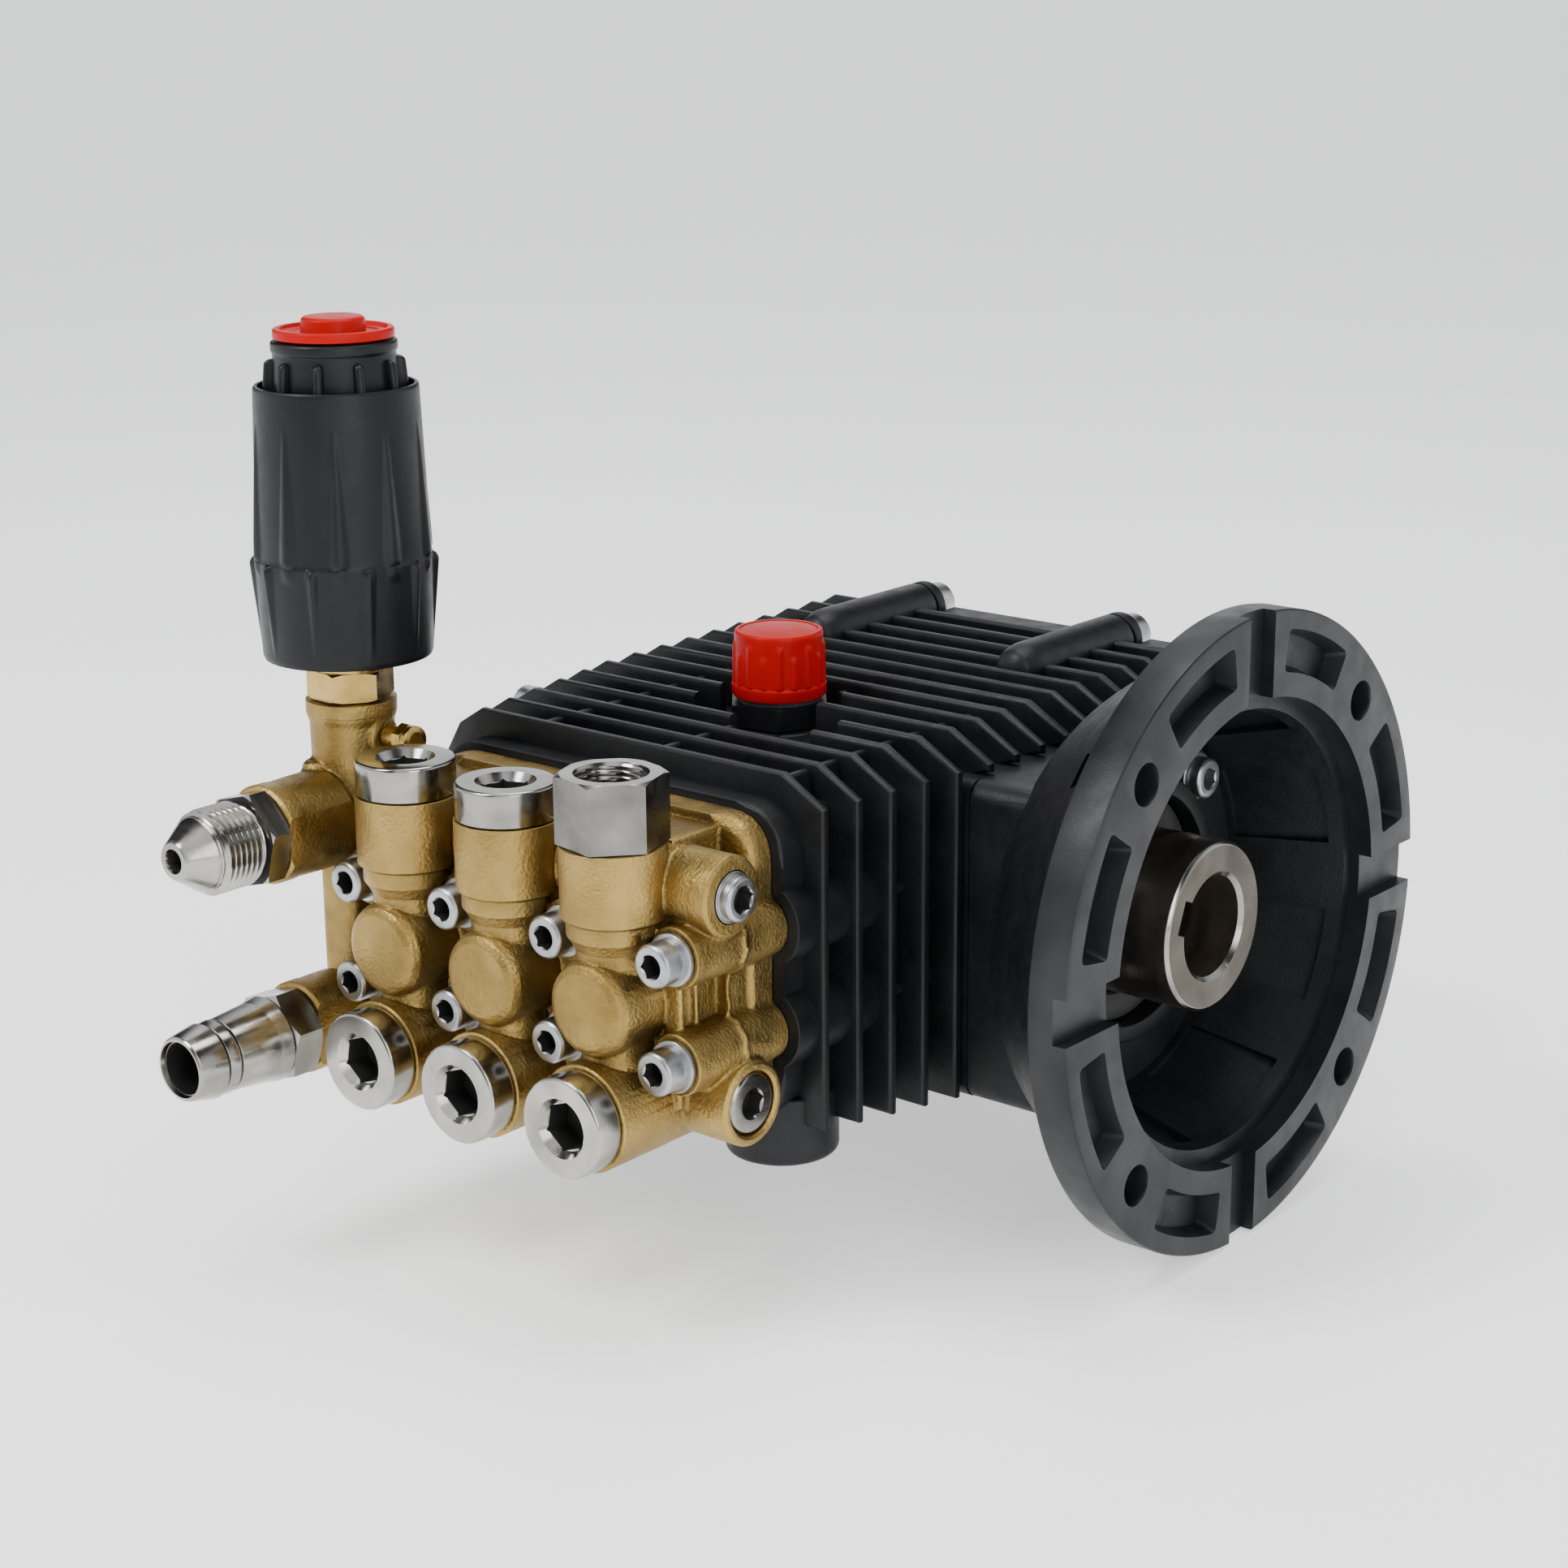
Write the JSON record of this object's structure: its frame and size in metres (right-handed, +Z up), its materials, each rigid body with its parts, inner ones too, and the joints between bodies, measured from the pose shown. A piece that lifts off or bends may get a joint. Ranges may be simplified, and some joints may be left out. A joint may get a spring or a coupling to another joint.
{
  "type": "pressure washer pump",
  "caption": "Crank-driven plunger pump with a finned oil-filled crankcase, a brass manifold, an adjustable unloader and a hollow-shaft motor flange.",
  "frame": {"origin": "centre of the motor flange's face, on the crankshaft's axis", "axes": "+X along the crankshaft towards the motor, -Y the way the plungers push, +Z up"},
  "size_m": [0.1997, 0.2478, 0.2136],
  "materials": {
    "grey_casting": "painted casting with machined face",
    "black_casting": "satin black paint on aluminium casting",
    "brass": "as cast",
    "steel": "turned, bright",
    "zinc": "zinc plated",
    "bearing_steel": "ground",
    "aluminium": "cast",
    "ceramic": "polished",
    "rubber": "matte",
    "black_plastic": "moulded",
    "red_plastic": "gloss"
  },
  "bodies": {
    "housing": {"bell_housing": "grey_casting", "crankcase": "black_casting", "rear_cover": "black_casting", "side_cover": "black_casting", "motor_bearing": "bearing_steel", "end_bearing": "bearing_steel", "shaft_seal": "rubber", "oil_seal_1": "rubber", "oil_seal_2": "rubber", "oil_seal_3": "rubber", "packing_1": "rubber", "packing_2": "rubber", "packing_3": "rubber", "manifold": "brass", "suction_cap_1": "steel", "suction_cap_2": "steel", "suction_cap_3": "steel", "discharge_cap_2": "steel", "discharge_cap_3": "steel", "gauge_fitting": "steel", "head_bolt_1": "zinc", "head_bolt_2": "zinc", "head_bolt_3": "zinc", "head_bolt_4": "zinc", "head_bolt_5": "zinc", "head_bolt_6": "zinc", "head_bolt_7": "zinc", "head_bolt_8": "zinc", "discharge_gallery_plug": "steel", "suction_gallery_plug": "steel", "unloader_block": "brass", "unloader_nut": "brass", "bypass_screw": "brass", "outlet_nipple": "steel", "inlet_barb": "steel", "oil_neck": "black_plastic"},
    "crank": {"crankshaft": "steel"},
    "rod_1": {"conrod_1": "aluminium"},
    "rod_2": {"conrod_2": "aluminium"},
    "rod_3": {"conrod_3": "aluminium"},
    "piston_1": {"guide_piston_1": "bearing_steel", "plunger_1": "ceramic"},
    "piston_2": {"guide_piston_2": "bearing_steel", "plunger_2": "ceramic"},
    "piston_3": {"guide_piston_3": "bearing_steel", "plunger_3": "ceramic"},
    "suction_poppet_1": {"suction_valve_1": "bearing_steel"},
    "suction_poppet_2": {"suction_valve_2": "bearing_steel"},
    "suction_poppet_3": {"suction_valve_3": "bearing_steel"},
    "discharge_poppet_1": {"discharge_valve_1": "bearing_steel"},
    "discharge_poppet_2": {"discharge_valve_2": "bearing_steel"},
    "discharge_poppet_3": {"discharge_valve_3": "bearing_steel"},
    "regulator_piston": {"unloader_piston": "bearing_steel"},
    "regulator_washer": {"spring_washer": "bearing_steel", "unloader_spring": "bearing_steel"},
    "knob": {"knob_core": "black_plastic", "knob_sleeve": "black_plastic", "knob_cap": "red_plastic"},
    "cap_seal": {"oil_cap_gasket": "rubber"},
    "filler_cap": {"oil_cap": "red_plastic"}
  },
  "joints": [
    {"name": "crank_spin", "type": "hinge", "parent": "housing", "child": "crank", "pos_m": [-0.1166, 0, 0], "axis": [1, 0, 0], "continuous": true},
    {"name": "rod_1_turn", "type": "hinge", "parent": "crank", "child": "rod_1", "pos_m": [-0.085, 0.005, 0], "axis": [1, 0, 0], "continuous": true},
    {"name": "rod_2_turn", "type": "hinge", "parent": "crank", "child": "rod_2", "pos_m": [-0.1166, -0.0025, 0.00433], "axis": [1, 0, 0], "continuous": true},
    {"name": "rod_3_turn", "type": "hinge", "parent": "crank", "child": "rod_3", "pos_m": [-0.1482, -0.0025, -0.00433], "axis": [1, 0, 0], "continuous": true},
    {"name": "piston_1_slide", "type": "slide", "parent": "housing", "child": "piston_1", "axis": [0, -1, 0], "range_m": [0, 0.01]},
    {"name": "piston_2_slide", "type": "slide", "parent": "housing", "child": "piston_2", "axis": [0, -1, 0], "range_m": [-0.0075, 0.0025]},
    {"name": "piston_3_slide", "type": "slide", "parent": "housing", "child": "piston_3", "axis": [0, -1, 0], "range_m": [-0.0075, 0.0025]},
    {"name": "suction_1_lift", "type": "slide", "parent": "housing", "child": "suction_poppet_1", "axis": [0, -1, 0], "range_m": [0, 0.0025], "stiffness_N_per_m": 200, "springref_m": -0.002},
    {"name": "suction_2_lift", "type": "slide", "parent": "housing", "child": "suction_poppet_2", "axis": [0, -1, 0], "range_m": [0, 0.0025], "stiffness_N_per_m": 200, "springref_m": -0.002},
    {"name": "suction_3_lift", "type": "slide", "parent": "housing", "child": "suction_poppet_3", "axis": [0, -1, 0], "range_m": [0, 0.0025], "stiffness_N_per_m": 200, "springref_m": -0.002},
    {"name": "discharge_1_lift", "type": "slide", "parent": "housing", "child": "discharge_poppet_1", "axis": [0, 0, 1], "range_m": [0, 0.0025], "stiffness_N_per_m": 200, "springref_m": -0.002},
    {"name": "discharge_2_lift", "type": "slide", "parent": "housing", "child": "discharge_poppet_2", "axis": [0, 0, 1], "range_m": [0, 0.0025], "stiffness_N_per_m": 200, "springref_m": -0.002},
    {"name": "discharge_3_lift", "type": "slide", "parent": "housing", "child": "discharge_poppet_3", "axis": [0, 0, 1], "range_m": [0, 0.0025], "stiffness_N_per_m": 200, "springref_m": -0.002},
    {"name": "regulator_lift", "type": "slide", "parent": "housing", "child": "regulator_piston", "axis": [0, 0, 1], "range_m": [0, 0.003], "stiffness_N_per_m": 3000, "springref_m": -0.002},
    {"name": "washer_slide", "type": "slide", "parent": "housing", "child": "regulator_washer", "axis": [0, 0, -1], "range_m": [0, 0.0045], "deforming": ["unloader_spring"]},
    {"name": "knob_turn", "type": "hinge", "parent": "regulator_washer", "child": "knob", "pos_m": [-0.178, -0.1095, 0], "axis": [0, 0, -1], "range_deg": [0, 1081]},
    {"name": "cap_lift", "type": "slide", "parent": "housing", "child": "cap_seal", "axis": [0, 0, 1], "range_m": [0, 0.0075]},
    {"name": "cap_turn", "type": "hinge", "parent": "cap_seal", "child": "filler_cap", "pos_m": [-0.1166, -0.0276, 0], "axis": [0, 0, 1], "range_deg": [0, 1801]}
  ],
  "couplings": [
    {"joint": "rod_1_turn", "follows": "crank_spin", "ratio": -1},
    {"joint": "rod_2_turn", "follows": "crank_spin", "ratio": -1},
    {"joint": "rod_3_turn", "follows": "crank_spin", "ratio": -1},
    {"joint": "knob_turn", "follows": "washer_slide", "rad_per_m": 4188.8},
    {"joint": "cap_turn", "follows": "cap_lift", "rad_per_m": 4188.8}
  ]
}
